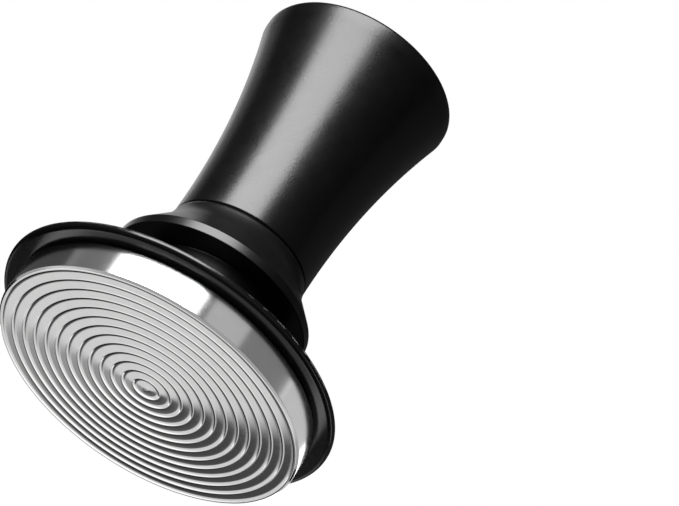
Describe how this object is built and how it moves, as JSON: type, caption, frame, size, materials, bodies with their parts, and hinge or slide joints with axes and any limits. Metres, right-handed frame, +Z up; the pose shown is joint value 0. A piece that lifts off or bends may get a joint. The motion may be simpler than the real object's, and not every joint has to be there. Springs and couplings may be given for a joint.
{
  "type": "espresso tamper",
  "caption": "Spring-loaded espresso tamper with a rippled round steel base, a round levelling plate above it and a flared black handle that presses down.",
  "frame": {"origin": "centre of the rippled face that the tamper stands on", "axes": "+Z up along the tamper's axis, from the base to the handle's top; +X and +Y lie in the rippled face"},
  "size_m": [0.0646, 0.0646, 0.0785],
  "materials": {
    "stainless_base": "turned and fine polished, with concentric tool marks",
    "turned_steel": "turned",
    "plated_steel": "zinc plated",
    "spring_steel": "drawn wire, oiled",
    "handle_anodised": "bead blasted and anodised black, satin",
    "collar_anodised": "turned and anodised black, semi-gloss",
    "plate_anodised": "turned and anodised black, satin",
    "nylon_natural": "moulded, natural white",
    "black_acetal": "turned acetal, black",
    "black_rubber": "moulded rubber, black"
  },
  "bodies": {
    "base": {"ripple_base": "stainless_base", "base_gasket": "nylon_natural", "centre_shaft": "turned_steel", "spring_seat_washer": "plated_steel", "shaft_circlip": "spring_steel", "stroke_bumper": "black_rubber", "piston_disc": "turned_steel", "lock_washer": "spring_steel", "piston_screw": "plated_steel", "lower_spring_seat": "nylon_natural", "main_spring": "spring_steel", "levelling_spring": "spring_steel"},
    "levelling_plate": {"levelling_plate": "plate_anodised", "plate_bush": "black_acetal", "plate_bumper_ring": "black_rubber"},
    "handle": {"handle_shell": "handle_anodised", "handle_collar": "collar_anodised", "collar_o_ring": "black_rubber", "guide_bush": "black_acetal", "return_bumper": "black_rubber", "upper_spring_seat": "nylon_natural"}
  },
  "joints": [
    {"name": "handle_press", "type": "slide", "parent": "base", "child": "handle", "axis": [0, 0, -1], "range_m": [0, 0.0035], "stiffness_N_per_m": 13000, "springref_m": -0.0067, "deforming": ["main_spring"]},
    {"name": "plate_lift", "type": "slide", "parent": "base", "child": "levelling_plate", "axis": [0, 0, 1], "range_m": [0, 0.0035], "stiffness_N_per_m": 300, "springref_m": -0.005, "deforming": ["levelling_spring"]}
  ]
}
